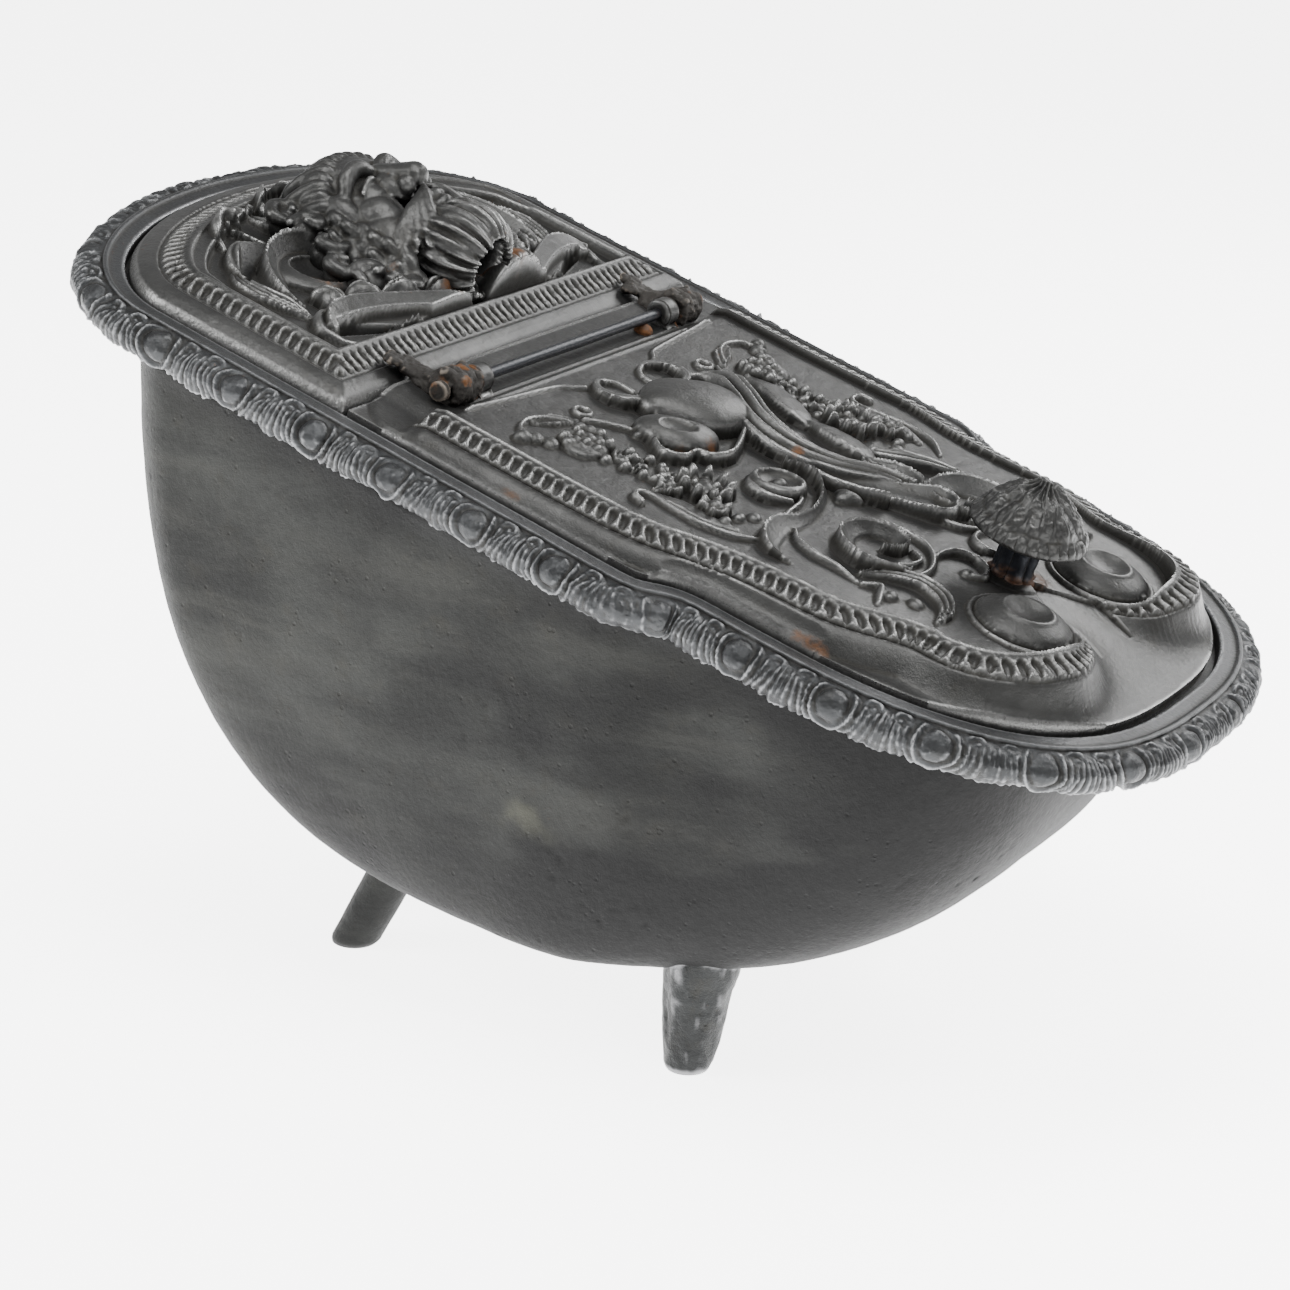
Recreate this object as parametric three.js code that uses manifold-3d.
// Cast-iron covered coal scuttle on four feet: a deep bowl, a sloping egg-and-dart rim frame,
// a fixed rear cover with a bearded mask, and a hinged front lid lifted by a leafy knob.
// Millimetres, +X toward the low front end, +Z up, near side at -Y.
// Rim, cover and lid are drawn in the sloping rim plane: u runs to the front from the hinge
// rod, v to the far side, n is the height above the rim's ledge.

import * as THREE from 'three';
import { mergeVertices } from 'three/addons/utils/BufferGeometryUtils.js';
import Module from 'manifold-3d';

const wasm = await Module();
wasm.setup();

// ---------------------------------------------------------------- driving dimensions
const TILT = THREE.MathUtils.degToRad(17);   // slope of the rim plane, down to the front
const TIGHT = 0.3;                           // gap between touching pieces

const OUTLINE = {                            // inner fillet of the rim, in the rim plane
  rearHalf: 146.4, frontHalf: 132.9,         // half widths behind and ahead of the shoulder
  shoulder: 133.7, shoulderBlend: 4,
  rearEnd: -190.4, frontEnd: 309,
  rearRound: 76.6, frontRound: 146,
  rearPower: 2.0, frontPower: 2.66,
};
const RIM_STATIONS = 60;

const LEDGE_EDGE = 8.5;                      // insets s from the fillet, inward positive
const SEAT_N = -6;                           // rebate floor that cover and lid rest on
const FLANGE_INNER = 35;
const RIM_SEAT_N = -19.7;                    // underside of the rim, on the bowl's edge
const HINGE_NOTCH = { from: -22, to: 25 };   // the rebate stops here, so the lid can swing

const COVER_EDGE = 10.5;
const COVER_FRONT = -20.5;
const COVER_FLOOR = 5;
const LID_EDGE = 12;
const LID_REAR = -19;
const PLATE_N = 1;                           // flat hinge strip of the lid
const LID_FIELD = { rear: 4, front: 12, from: 60, to: 215 };
const LID_MOULDING = { from: 5, full: 9, field: 14, fade: 272, end: 296 };
const LID_FAN = { from: -2, to: 70, starts: 150 };   // insets of the plain front slope
const CAST = 3.5;                            // wall of the cover and lid castings
const MOULDING = { groove: 21, crown: 31, fillet: 33.5, step: 34.2 };

const ROD = { n: 10.5, radius: 2.4, half: 101 };
const EYE = { from: 70.5, to: 79.5, radius: 6.4 };
const BRACKET = { from: 81, to: 99, radius: 8.9 };

const KNOB = { u: 217, stemRadius: 9.6, stemTop: 31, capRadius: 24.6, capTop: 56.5 };
const VOLUTE = { u: 248, v: 41, radius: 23, top: 19.5, dish: 9 };
const KNOB_SEAT = { top: 12.6, spread: 5 };   // raised pad of the lid under the stem
const RIVET = { u: 2, v: 58 };
const MASK = {
  u: -98, halfLength: 51, halfWidth: 46.8, height: 50,
  curls: [                                   // bunches of hair on each side, u from the middle
    { u: 24, v: 50, size: [24, 20, 24] },
    { u: -4, v: 60, size: [22, 20, 20] },
  ],
  hollow: { u: 42, n: 27, size: [15, 13, 12] },
  boltHole: 3.4,
};

// Bolts from below: heights of the head and the tip, and of the holes they pass through.
const COVER_BOLTS = {
  stations: [-150, -60], inset: 12.9, radius: 1.5, under: -11.9, tip: -1.9,
  hole: { radius: 1.8, from: -12, to: -1.6 },
};
const RIM_BOLTS = {
  stations: [-120, -45, 100, 200], inset: 30, radius: 1.8, under: -24.4, tip: -9.9,
  hole: { radius: 2.1, from: -30, to: -9.5 },
};
const BOLT_HEAD = 2.2;

const BOWL = {                               // in the level frame, from the hinge-plane origin
  x: 134.97, halfLength: 23.7, halfWidth: 103.1, bottom: -233.1,
  powerRear: 2.6, powerFront: 2.0, powerSide: 3.11,
  inset: 18.9, top: -20, wall: 4.5,
  frontDraw: 16.4, drawFrom: 42, drawLength: 270,   // how the front end is drawn in
  spanX: 240, spanY: 150,                           // half sizes that share out the rings
};
const FLOOR_Z = -274.7;
const FOOT = { measuredAt: 38, rise: 66, chamfer: 1.2, chamferHeight: 2.5, segments: 20 };
const ROD_FROM_ORIGIN = 58;                  // u of the hinge rod in the bowl's own layout
const FEET = [
  { name: 'foot_front', x: 179, y: 90, topX: 181, topY: 86, topRadius: 15, toeRadius: 9.8 },
  { name: 'foot_rear', x: -5, y: 65, topX: 13, topY: 60, topRadius: 11.5, toeRadius: 11 },
];
const RIVET_RADIUS = 2.6;
const RIVET_HEAD = { radius: 6, height: 4, buried: 8 };
const KNOB_BOLT = { radius: 3.2, bore: 3.5, lidHole: 3.8, reach: 11, headRadius: 6.5, headHeight: 3.2 };
const STOP = { shank: 1.7, hole: 2, head: 3.6, crown: 2.2, height: 2.6, clench: 2.4, spread: 3.2 };
const EYE_WIDTH = 11;
const ARM = { length: 36, thick: 8.5, middle: -18, above: 1.5 };   // leaf behind a knuckle
const NUT = { radius: 5.2, thick: 4.5 };

// ---------------------------------------------------------------- materials
const iron = (color, roughness = 0.5) =>
  new THREE.MeshStandardMaterial({ color, roughness, metalness: 0.75 });
const MATERIALS = {
  bowl: iron(0x3c3d3c, 0.6),
  cast: iron(0x4a4a48, 0.45),
  worn: iron(0x565654, 0.4),
  dark: iron(0x26272a, 0.45),
  rusty: iron(0x4e3a2c, 0.7),
};

// ---------------------------------------------------------------- mesh helpers
function signedVolume(points, triangles) {
  const [a, b, c] = [new THREE.Vector3(), new THREE.Vector3(), new THREE.Vector3()];
  return triangles.reduce((sum, [i, j, k]) => {
    a.fromArray(points[i]);
    b.fromArray(points[j]);
    c.fromArray(points[k]);
    return sum + a.dot(b.cross(c)) / 6;
  }, 0);
}

// A closed mesh from points and triangles, turned so that its faces point out.
function solidGeometry(points, allTriangles) {
  const kept = dropDegenerate(points, allTriangles);
  const inward = signedVolume(points, kept) < 0;
  const triangles = inward ? kept.map(([a, b, c]) => [a, c, b]) : kept;
  const geometry = new THREE.BufferGeometry();
  geometry.setAttribute('position', new THREE.Float32BufferAttribute(points.flat(), 3));
  geometry.setIndex(triangles.flat());
  return mergeVertices(geometry, 1e-4);
}

// Joins closed rings of equal point count into a skin. Rings run counter-clockwise seen from
// the outside end, from the first ring to the last; with loop, the last joins the first.
function ringSkin(rings, loop = false) {
  const count = rings[0].length;
  const triangles = [];
  const last = loop ? rings.length : rings.length - 1;
  for (let r = 0; r < last; r += 1) {
    const a = r * count;
    const b = ((r + 1) % rings.length) * count;
    for (let i = 0; i < count; i += 1) {
      const j = (i + 1) % count;
      triangles.push([a + i, a + j, b + j], [a + i, b + j, b + i]);
    }
  }
  return { points: rings.flat(), triangles };
}

function dropDegenerate(points, triangles) {
  const key = (i) => points[i].map((value) => value.toFixed(4)).join();
  return triangles.filter(([a, b, c]) => key(a) !== key(b) && key(b) !== key(c) && key(a) !== key(c));
}

function toManifold(geometry) {
  const plain = geometry.clone();
  for (const name of Object.keys(plain.attributes)) {
    if (name !== 'position') plain.deleteAttribute(name);
  }
  const merged = mergeVertices(plain, 1e-4);
  return new wasm.Manifold(new wasm.Mesh({
    numProp: 3,
    vertProperties: new Float32Array(merged.attributes.position.array),
    triVerts: new Uint32Array(merged.index.array),
  }));
}

function fromManifold(solid) {
  const mesh = solid.getMesh();
  const geometry = new THREE.BufferGeometry();
  geometry.setAttribute('position', new THREE.BufferAttribute(mesh.vertProperties, mesh.numProp));
  geometry.setIndex(new THREE.BufferAttribute(mesh.triVerts, 1));
  return geometry;
}

function cylinder(radius, from, to, segments = 24, topRadius = radius) {
  const geometry = new THREE.CylinderGeometry(topRadius, radius, to - from, segments);
  return geometry.rotateX(Math.PI / 2).translate(0, 0, (from + to) / 2);
}

function crossBar(radius, from, to, segments = 24) {
  const geometry = new THREE.CylinderGeometry(radius, radius, to - from, segments);
  return geometry.translate(0, (from + to) / 2, 0);
}

function block(sizeX, sizeY, sizeZ, x, y, z) {
  return new THREE.BoxGeometry(sizeX, sizeY, sizeZ).translate(x, y, z);
}

const union = (...parts) => parts.map(toManifold).reduce((sum, part) => sum.add(part));

// ---------------------------------------------------------------- rim outline
function halfWidth(u) {
  const o = OUTLINE;
  const blend = 1 / (1 + Math.exp(-(u - o.shoulder) / o.shoulderBlend));
  const width = o.rearHalf + (o.frontHalf - o.rearHalf) * blend;
  const rear = THREE.MathUtils.clamp((o.rearEnd + o.rearRound - u) / o.rearRound, 0, 1);
  const front = THREE.MathUtils.clamp((u - o.frontEnd + o.frontRound) / o.frontRound, 0, 1);
  return width * (1 - rear ** o.rearPower) ** (1 / o.rearPower)
    * (1 - front ** o.frontPower) ** (1 / o.frontPower);
}

// A point of the near side at u, moved inward by inset along the outline's normal.
function nearPoint(u, inset) {
  const { rearEnd, frontEnd } = OUTLINE;
  const step = 0.02;
  if (u <= rearEnd + step) return [rearEnd + inset, 0];
  if (u >= frontEnd - step) return [frontEnd - inset, 0];
  const rise = (halfWidth(u + step) - halfWidth(u - step)) / (2 * step);
  const length = Math.hypot(1, rise);
  return [u + inset * rise / length, -Math.max(halfWidth(u) - inset / length, 0)];
}

// u values from one end to the other, closer together where an end is round.
function stationsU(from, to, count) {
  return Array.from({ length: count + 1 }, (_, i) =>
    (from + to) / 2 - (to - from) / 2 * Math.cos(Math.PI * i / count));
}

function closedRing(inset, n) {
  const half = RIM_STATIONS / 2;
  const near = stationsU(OUTLINE.rearEnd, OUTLINE.frontEnd, half)
    .map((u) => nearPoint(u, inset));
  const far = near.slice(1, half).reverse().map(([u, v]) => [u, -v]);
  return [...near, ...far].map(([u, v]) => [u, v, n]);
}

// ---------------------------------------------------------------- rim frame
function rimProfile(u) {
  const notch = u > HINGE_NOTCH.from && u < HINGE_NOTCH.to;
  const inner = notch ? LEDGE_EDGE + 5 : FLANGE_INNER;
  const seat = notch ? -15.5 : SEAT_N;
  return [
    [inner, RIM_SEAT_N], [inner, seat], [LEDGE_EDGE + 0.4, seat], [LEDGE_EDGE, -0.8],
    [1.2, -0.8], [0.6, 0.2], [-0.8, 0.2], [-4, -1.2], [-9, -3.4], [-11.7, -7.5],
    [-10.6, -12.5], [-7.5, -16], [-5, -14.2], [-2, -9.5], [4, -10.5],
    [notch ? 6 : 16.8, notch ? -14 : -11.5], [notch ? 7 : 17.5, RIM_SEAT_N],
  ];
}

function rimFrame() {
  const half = RIM_STATIONS / 2;
  const stations = stationsU(OUTLINE.rearEnd, OUTLINE.frontEnd, half);
  const nearRing = (u) => rimProfile(u).map(([inset, n]) => [...nearPoint(u, inset), n]);
  const mirror = (ring) => ring.map(([u, v, n]) => [u, -v, n]);
  const near = stations.map(nearRing);
  const far = stations.slice(1, half).reverse().map((u) => mirror(nearRing(u)));
  const { points, triangles } = ringSkin([...near, ...far], true);
  return toManifold(solidGeometry(points, triangles));
}

// Places of a row of bolts along both sides, and the holes for them.
function boltPlaces({ stations, inset }) {
  return stations.flatMap((u) => {
    const [x, y] = nearPoint(u, inset);
    return [[x, y], [x, -y]];
  });
}

function boltHoles(row) {
  const { radius, from, to } = row.hole;
  return union(...boltPlaces(row).map(([u, v]) =>
    cylinder(radius, from, to, 12).translate(u, v, 0)));
}

// ---------------------------------------------------------------- bowl
const ROD_AT = new THREE.Vector3(ROD_FROM_ORIGIN, 0, 0).applyAxisAngle(new THREE.Vector3(0, 1, 0), TILT);

function toLevel([u, v, n]) {
  const point = new THREE.Vector3(u, v, n).applyAxisAngle(new THREE.Vector3(0, 1, 0), TILT);
  return point.add(ROD_AT).toArray();
}

// The bowl's rim, drawn in toward the rear along its front part.
function bowlRim(inset, n) {
  return closedRing(inset, n).map(([u, v]) => {
    const forward = THREE.MathUtils.clamp((u - BOWL.drawFrom) / BOWL.drawLength, 0, 1);
    return toLevel([u - BOWL.frontDraw * forward, v, n]);
  });
}

// Rings from the rim down to a flat oval bottom, each wall a quarter superellipse.
function bowlRings(grow, steps) {
  const rim = bowlRim(BOWL.inset - grow, BOWL.top);
  const middle = rim.reduce((sum, [x]) => sum + x, 0) / rim.length;
  return Array.from({ length: steps + 1 }, (_, step) => rim.map(([x, y, z]) => {
    const angle = Math.atan2(y / BOWL.spanY, (x - middle) / BOWL.spanX);
    const along = Math.cos(angle) ** 2;
    const endPower = Math.cos(angle) > 0 ? BOWL.powerFront : BOWL.powerRear;
    const power = BOWL.powerSide * (1 - along) + endPower * along;
    const bottom = [
      BOWL.x + (BOWL.halfLength + grow) * Math.cos(angle),
      (BOWL.halfWidth + grow) * Math.sin(angle),
      BOWL.bottom - grow,
    ];
    const turn = Math.PI / 2 * step / steps;
    const out = Math.max(Math.cos(turn), 0) ** (2 / power);
    const up = 1 - Math.sin(turn) ** (2 / power);
    return [
      bottom[0] + (x - bottom[0]) * out,
      bottom[1] + (y - bottom[1]) * out,
      bottom[2] + (z - bottom[2]) * up,
    ];
  }));
}

function capped(rings) {
  const { points, triangles } = ringSkin(rings);
  const count = rings[0].length;
  const centre = (ring) => ring[0].map((_, axis) =>
    ring.reduce((sum, point) => sum + point[axis], 0) / ring.length);
  const first = points.length;
  const last = first + 1;
  points.push(centre(rings[0]), centre(rings[rings.length - 1]));
  const end = (rings.length - 1) * count;
  for (let i = 0; i < count; i += 1) {
    const j = (i + 1) % count;
    triangles.push([first, j, i], [last, end + i, end + j]);
  }
  return solidGeometry(points, triangles);
}

function bowl() {
  const outer = bowlRings(0, 9).reverse();
  const inner = bowlRings(-BOWL.wall, 9);
  const lipInner = FLANGE_INNER + 1;
  const lip = [bowlRim(lipInner, BOWL.top), bowlRim(lipInner, BOWL.top - 4)];
  return toManifold(capped([...outer, ...lip, ...inner]));
}

const bowlSolid = (grow) => toManifold(capped(bowlRings(grow, 9)));

// A tapered foot, drawn past the bowl's skin along its own slope and then trimmed to it.
function foot(spec, side, bowlOutside) {
  const circle = (x, y, radius, z) => Array.from({ length: FOOT.segments }, (_, i) => {
    const angle = 2 * Math.PI * i / FOOT.segments;
    return [x + radius * Math.cos(angle), side * y + radius * Math.sin(angle), z];
  });
  const slope = FOOT.rise / FOOT.measuredAt;
  const reach = (toe, top) => toe + (top - toe) * slope;
  const rings = [
    circle(spec.x, spec.y, spec.toeRadius - FOOT.chamfer, FLOOR_Z),
    circle(spec.x, spec.y, spec.toeRadius, FLOOR_Z + FOOT.chamferHeight),
    circle(
      reach(spec.x, spec.topX), reach(spec.y, spec.topY),
      reach(spec.toeRadius, spec.topRadius), FLOOR_Z + FOOT.rise,
    ),
  ];
  return toManifold(capped(rings)).subtract(bowlOutside);
}

// ---------------------------------------------------------------- rear cover and lid
// Stations from a straight edge to a round end, crowding toward the round end.
function towardTip(edge, tip, count) {
  return Array.from({ length: count + 1 }, (_, i) =>
    edge + (tip - edge) * Math.sin(Math.PI / 2 * i / count));
}

// A ring inset from the outline, from a straight edge around the end's tip and back.
function cutRing(stations, inset, height) {
  const across = 5;
  const near = stations.map((u) => [...nearPoint(u, inset), height(u)]);
  const far = near.slice(0, -1).reverse().map(([u, v, n]) => [u, -v, n]);
  const straight = Array.from({ length: across }, (_, i) => {
    const share = (i + 1) / (across + 1);
    return [near[0][0], -near[0][1] * (1 - 2 * share), near[0][2]];
  });
  return [...near, ...far, ...straight];
}

function coverRing(inset, n) {
  const stations = towardTip(COVER_FRONT - (inset - COVER_EDGE), OUTLINE.rearEnd, 22);
  return cutRing(stations, inset, () => n);
}

function rearCover() {
  const { groove, crown, fillet, step } = MOULDING;
  const under = COVER_FLOOR - CAST;
  const rings = [
    coverRing(groove + 2, under), coverRing(COVER_EDGE + 7, under),
    coverRing(COVER_EDGE + 5, SEAT_N + 0.4), coverRing(COVER_EDGE, SEAT_N + 0.4),
    coverRing(COVER_EDGE, -1), coverRing(COVER_EDGE + 2, 2.6), coverRing(COVER_EDGE + 6.5, 5),
    coverRing(groove, COVER_FLOOR + 1.2), coverRing(groove + 1.5, COVER_FLOOR + 1.6),
    coverRing(groove + 5, COVER_FLOOR + 5), coverRing(crown, COVER_FLOOR + 6.2),
    coverRing(fillet, COVER_FLOOR + 6.2), coverRing(step, COVER_FLOOR),
  ];
  return toManifold(capped(rings));
}

// Close stations where the lid's mouldings begin, ahead of the hinge strip.
const LID_STATIONS = [LID_REAR, LID_MOULDING.from, LID_MOULDING.full, LID_MOULDING.field,
  ...towardTip(30, OUTLINE.frontEnd, 20)];

const blendStep = (from, to, value) => THREE.MathUtils.smoothstep(value, from, to);

function lidField(u) {
  const { rear, front, from, to } = LID_FIELD;
  const past = blendStep(LID_MOULDING.full, LID_MOULDING.field, u);
  return PLATE_N + (rear - PLATE_N) * past + (front - rear) * blendStep(from, to, u);
}

// Height of the lid's top at an inset and station: side mouldings, a flat hinge strip behind
// them, and a plain fan sloping to the front edge.
function lidTop(inset, u) {
  const { groove, crown, fillet, step } = MOULDING;
  const field = lidField(u);
  const curve = [
    [LID_EDGE, -1], [LID_EDGE + 1.5, 0.6], [LID_EDGE + 5, 0.6 * (field + 1.4)],
    [groove, field + 1.2], [groove + 1.5, field + 1.6], [groove + 5, field + 5],
    [crown, field + 6.2], [fillet, field + 6.2], [step, field],
  ];
  const moulded = curve.find(([at]) => Math.abs(at - inset) < 0.01)[1];
  const fan = blendStep(LID_FAN.from, LID_FAN.to, inset) * field - 1;
  const plain = u < LID_FAN.starts ? Math.min(PLATE_N, moulded) : fan;
  const share = blendStep(LID_MOULDING.from, LID_MOULDING.full, u)
    * (1 - blendStep(LID_MOULDING.fade, LID_MOULDING.end, u));
  return plain + (moulded - plain) * share;
}

function lidPlate() {
  const insets = [
    LID_EDGE, LID_EDGE + 1.5, LID_EDGE + 5, MOULDING.groove, MOULDING.groove + 1.5,
    MOULDING.groove + 5, MOULDING.crown, MOULDING.fillet, MOULDING.step,
  ];
  const top = insets.map((inset) => cutRing(LID_STATIONS, inset, (u) => lidTop(inset, u)));
  const spine = (drop) => {
    const ring = cutRing(LID_STATIONS, 0, (u) => u);
    return ring.map(([, , u]) => {
      const at = THREE.MathUtils.clamp(u, LID_REAR + 8, KNOB.u);
      return [at, 0, lidField(at) - drop];
    });
  };
  const bottom = SEAT_N + 0.4;
  const rings = [
    spine(CAST),
    cutRing(LID_STATIONS, LID_EDGE + 10, (u) => lidTop(MOULDING.step, u) - CAST),
    cutRing(LID_STATIONS, LID_EDGE + 4, () => bottom),
    cutRing(LID_STATIONS, LID_EDGE, () => bottom),
    ...top,
    spine(0),
  ];
  const { points, triangles } = ringSkin(rings);
  return toManifold(solidGeometry(points, triangles));
}

// Low cone with a dished top, at the end of each moulding.
function voluteBoss(side) {
  const base = cylinder(VOLUTE.radius, 8, 13.5, 36, VOLUTE.radius - 2);
  const cone = cylinder(VOLUTE.radius - 4, 13, VOLUTE.top, 36, VOLUTE.dish + 2);
  const dish = cylinder(VOLUTE.dish - 2, VOLUTE.top - 2.5, VOLUTE.top + 1, 24, VOLUTE.dish);
  return union(base, cone).subtract(toManifold(dish)).translate([VOLUTE.u, side * VOLUTE.v, 0]);
}

function lid() {
  const knobHole = toManifold(cylinder(KNOB_BOLT.lidHole, 0, 20).translate(KNOB.u, 0, 0));
  const rivetHole = toManifold(cylinder(STOP.hole, -6, 4, 16).translate(RIVET.u, RIVET.v, 0));
  const seatRadius = KNOB.stemRadius + KNOB_SEAT.spread;
  const knobSeat = toManifold(cylinder(seatRadius, 9, KNOB_SEAT.top, 32).translate(KNOB.u, 0, 0));
  return lidPlate().add(voluteBoss(1)).add(voluteBoss(-1)).add(knobSeat)
    .subtract(knobHole).subtract(rivetHole);
}

// ---------------------------------------------------------------- mask
function ellipsoid(sizeU, sizeV, sizeN, u, v, n) {
  return new THREE.SphereGeometry(1, 18, 10).scale(sizeU, sizeV, sizeN).translate(u, v, n);
}

function mask() {
  const base = COVER_FLOOR + TIGHT;
  const head = ellipsoid(MASK.halfLength, MASK.halfWidth, MASK.height, MASK.u, 0, base);
  const curls = MASK.curls.flatMap(({ u, v, size }) =>
    [v, -v].map((place) => ellipsoid(...size, MASK.u + u, place, base)));
  const above = toManifold(block(400, 400, 200, 0, 0, base + 100));
  const { hollow } = MASK;
  const recess = toManifold(ellipsoid(...hollow.size, MASK.u + hollow.u, 0, base + hollow.n));
  const boltHole = toManifold(cylinder(MASK.boltHole, 0, 22).translate(MASK.u, 0, 0));
  return union(head, ...curls).intersect(above).subtract(recess).subtract(boltHole);
}

// ---------------------------------------------------------------- hinge
function hingeEye(side) {
  const [from, to] = [EYE.from * side, EYE.to * side].sort((a, b) => a - b);
  const foot = PLATE_N + TIGHT;
  const middle = (from + to) / 2;
  const body = block(EYE_WIDTH, to - from, ROD.n - foot, 0, middle, (ROD.n + foot) / 2);
  const ring = crossBar(EYE.radius, from, to).translate(0, 0, ROD.n);
  const hole = crossBar(ROD.radius + TIGHT, from - 1, to + 1).translate(0, 0, ROD.n);
  return union(body, ring).subtract(toManifold(hole));
}

function hingeBracket(side, cover) {
  const [from, to] = [BRACKET.from * side, BRACKET.to * side].sort((a, b) => a - b);
  const middle = (from + to) / 2;
  const ring = crossBar(BRACKET.radius, from, to, 32).translate(0, 0, ROD.n);
  const arm = block(ARM.length, to - from - 2, ARM.thick, ARM.middle, middle, ROD.n + ARM.above);
  const hole = crossBar(ROD.radius + TIGHT, from - 1, to + 1).translate(0, 0, ROD.n);
  return union(ring, arm).subtract(toManifold(hole)).subtract(cover.translate([0.35, 0, 0.25]));
}

function rodNut(side) {
  const inner = BRACKET.to + TIGHT;
  const outer = BRACKET.to + NUT.thick;
  const [from, to] = [inner * side, outer * side].sort((a, b) => a - b);
  const nut = crossBar(NUT.radius, from, to, 6).translate(0, 0, ROD.n);
  const hole = crossBar(ROD.radius + TIGHT, from - 1, to + 1).translate(0, 0, ROD.n);
  return toManifold(nut).subtract(toManifold(hole));
}

function stopRivet() {
  const shank = cylinder(STOP.shank, PLATE_N - CAST - 1, PLATE_N + 1, 16);
  const head = cylinder(STOP.head, PLATE_N + TIGHT, PLATE_N + STOP.height, 20, STOP.crown);
  const back = PLATE_N - CAST;
  const clench = cylinder(STOP.clench, back - STOP.crown, back - TIGHT, 16, STOP.spread);
  return union(shank, head, clench).translate([RIVET.u, RIVET.v, 0]);
}

// ---------------------------------------------------------------- knob
const STEM_FOOT = KNOB_SEAT.top + TIGHT;

function knobStem() {
  const core = cylinder(KNOB.stemRadius - 1.6, STEM_FOOT, KNOB.stemTop, 32);
  const flutes = Array.from({ length: 8 }, (_, i) => {
    const angle = Math.PI / 4 * (i + 0.5);
    const out = KNOB.stemRadius - 2.6;
    return cylinder(2.6, STEM_FOOT, KNOB.stemTop, 12)
      .translate(out * Math.cos(angle), out * Math.sin(angle), 0);
  });
  const bore = cylinder(KNOB_BOLT.bore, STEM_FOOT - 1, STEM_FOOT + KNOB_BOLT.reach + 1);
  return union(core, ...flutes).subtract(toManifold(bore));
}

function knobCap() {
  const { capRadius: r, capTop: top, stemTop } = KNOB;
  const under = stemTop + TIGHT;
  const profile = [
    [0, under], [r * 0.5, under], [r * 0.8, under - 1], [r, under - 2.2], [r + 0.4, under + 0.6],
    [r * 0.93, under + 4], [r * 0.72, under + 10], [r * 0.46, under + 17], [r * 0.2, top - 2],
    [0, top],
  ].map(([x, y]) => new THREE.Vector2(x, y));
  return new THREE.LatheGeometry(profile, 36).rotateX(Math.PI / 2);
}

function knobBolt() {
  const under = lidField(KNOB.u) - CAST - 2;
  const head = cylinder(KNOB_BOLT.headRadius, under - 2 - KNOB_BOLT.headHeight, under - TIGHT, 6);
  const shank = cylinder(KNOB_BOLT.radius, under - 2, STEM_FOOT + KNOB_BOLT.reach);
  return union(head, shank);
}

// ---------------------------------------------------------------- fixings
function maskBolt() {
  const under = COVER_FLOOR - CAST;
  const nut = cylinder(6, under - 5, under - TIGHT, 6);
  const shank = cylinder(3, under - 3, 20);
  return union(nut, shank).translate([MASK.u, 0, 0]);
}

// A bolt whose head hangs below `under` and whose shank ends at `to`.
function boltFromBelow({ radius, under, tip }, [u, v]) {
  const head = cylinder(radius * 2, under - BOLT_HEAD, under, 6);
  return union(head, cylinder(radius, under - 1, tip, 12)).translate([u, v, 0]);
}

const footDepth = BOWL.bottom - FLOOR_Z;

// A pin along a foot's own axis; distances are measured from its toe.
function footPin(spec, side, radius, from, to) {
  const lean = new THREE.Vector3(
    spec.topX - spec.x, side * (spec.topY - spec.y), FOOT.measuredAt,
  ).normalize();
  const turn = new THREE.Quaternion().setFromUnitVectors(new THREE.Vector3(0, 0, 1), lean);
  return cylinder(radius, from, to, 16).applyQuaternion(turn)
    .translate(spec.x, side * spec.y, FLOOR_Z);
}

function footRivet(spec, side, bowlInside) {
  const headHeight = footDepth + BOWL.wall + RIVET_HEAD.height;
  const { radius, buried } = RIVET_HEAD;
  const head = toManifold(footPin(spec, side, radius, footDepth - buried, headHeight + 2))
    .intersect(bowlInside);
  return head.add(toManifold(footPin(spec, side, RIVET_RADIUS, 24, headHeight)));
}

// ---------------------------------------------------------------- assembly
function mesh(name, shape, material) {
  const geometry = shape.isBufferGeometry ? shape : fromManifold(shape);
  const part = new THREE.Mesh(geometry, material);
  part.name = name;
  return part;
}

const bowlOutside = bowlSolid(TIGHT);
const bowlInside = bowlSolid(-BOWL.wall - TIGHT);
const sides = [['near', -1], ['far', 1]];
const eachFoot = FEET.flatMap((spec) => sides.map(([label, side]) => ({ spec, label, side })));
const footHoles = union(...eachFoot.map(({ spec, side }) =>
  footPin(spec, side, RIVET_RADIUS + TIGHT, 23, footDepth + 30)));
const cover = rearCover();
const coverBoltHoles = boltHoles(COVER_BOLTS);
const rimBoltHoles = boltHoles(RIM_BOLTS);
const maskHole = toManifold(cylinder(MASK.boltHole, 0, 10).translate(MASK.u, 0, 0));

const level = new THREE.Group();
const sloping = new THREE.Group();
sloping.position.copy(ROD_AT);
sloping.rotation.y = TILT;
level.add(sloping);

function bowlBoltHoles() {
  return rimBoltHoles.rotate([0, THREE.MathUtils.radToDeg(TILT), 0]).translate(ROD_AT.toArray());
}

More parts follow.
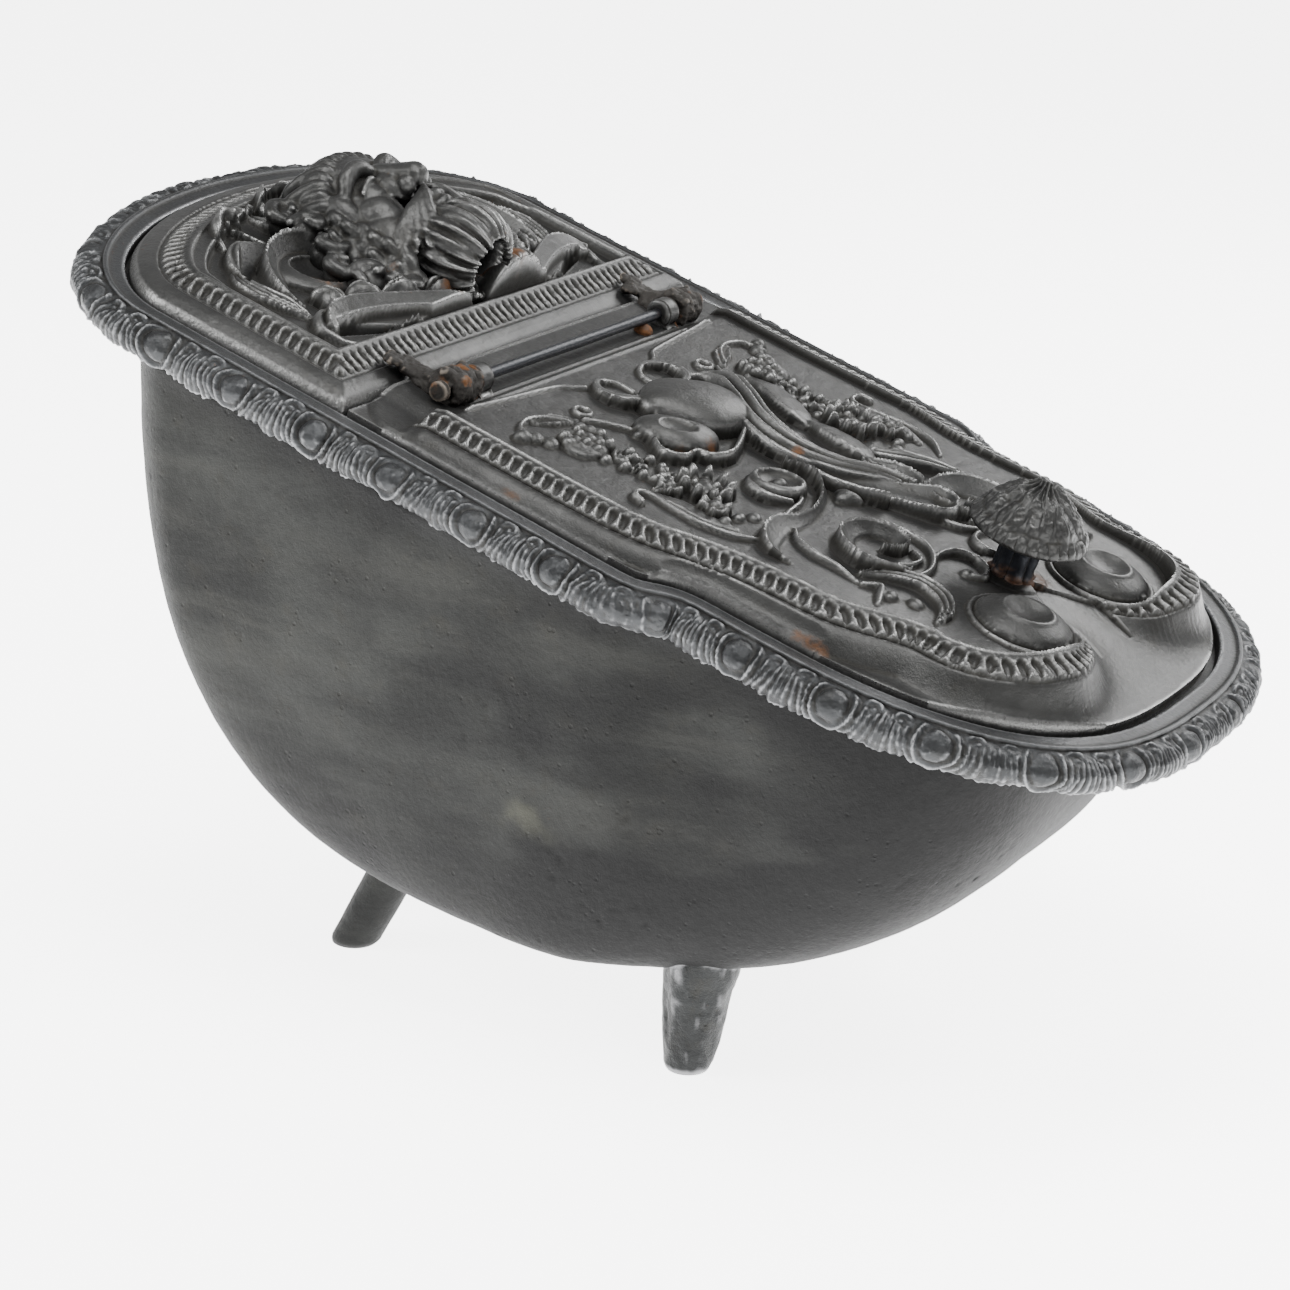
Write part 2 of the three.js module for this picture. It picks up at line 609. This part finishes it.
level.add(mesh('bowl', bowl().subtract(bowlBoltHoles()).subtract(footHoles), MATERIALS.bowl));
for (const { spec, label, side } of eachFoot) {
  const shape = foot(spec, side, bowlOutside).subtract(footHoles);
  level.add(mesh(`${spec.name}_${label}`, shape, MATERIALS.worn));
  level.add(mesh(`${spec.name}_rivet_${label}`, footRivet(spec, side, bowlInside), MATERIALS.dark));
}

sloping.add(mesh('rim_frame', rimFrame().subtract(coverBoltHoles).subtract(rimBoltHoles), MATERIALS.cast));
sloping.add(mesh('rear_cover', cover.subtract(coverBoltHoles).subtract(maskHole), MATERIALS.cast));
sloping.add(mesh('mask', mask(), MATERIALS.worn));
sloping.add(mesh('lid', lid(), MATERIALS.cast));
const rod = crossBar(ROD.radius, -ROD.half, ROD.half).translate(0, 0, ROD.n);
sloping.add(mesh('hinge_rod', rod, MATERIALS.dark));
for (const [label, side] of sides) {
  sloping.add(mesh(`hinge_eye_${label}`, hingeEye(side), MATERIALS.cast));
  sloping.add(mesh(`hinge_bracket_${label}`, hingeBracket(side, cover), MATERIALS.rusty));
  sloping.add(mesh(`rod_nut_${label}`, rodNut(side), MATERIALS.rusty));
}
sloping.add(mesh('stop_rivet', stopRivet(), MATERIALS.rusty));
sloping.add(mesh('mask_bolt', maskBolt(), MATERIALS.dark));
boltPlaces(COVER_BOLTS).forEach((place, i) => {
  sloping.add(mesh(`cover_bolt_${i + 1}`, boltFromBelow(COVER_BOLTS, place), MATERIALS.dark));
});
boltPlaces(RIM_BOLTS).forEach((place, i) => {
  sloping.add(mesh(`rim_bolt_${i + 1}`, boltFromBelow(RIM_BOLTS, place), MATERIALS.dark));
});
const knob = new THREE.Group();
knob.position.x = KNOB.u;
knob.add(mesh('knob_stem', knobStem(), MATERIALS.dark));
knob.add(mesh('knob_cap', knobCap(), MATERIALS.worn));
knob.add(mesh('knob_bolt', knobBolt(), MATERIALS.dark));
sloping.add(knob);

// The origin is the middle of the object's box, on the floor.
const object = new THREE.Group();
object.name = 'coal_scuttle';
object.add(level);
object.updateMatrixWorld(true);
const box = new THREE.Box3().setFromObject(object, true);
level.position.set(-(box.min.x + box.max.x) / 2, 0, -box.min.z);

export default object;
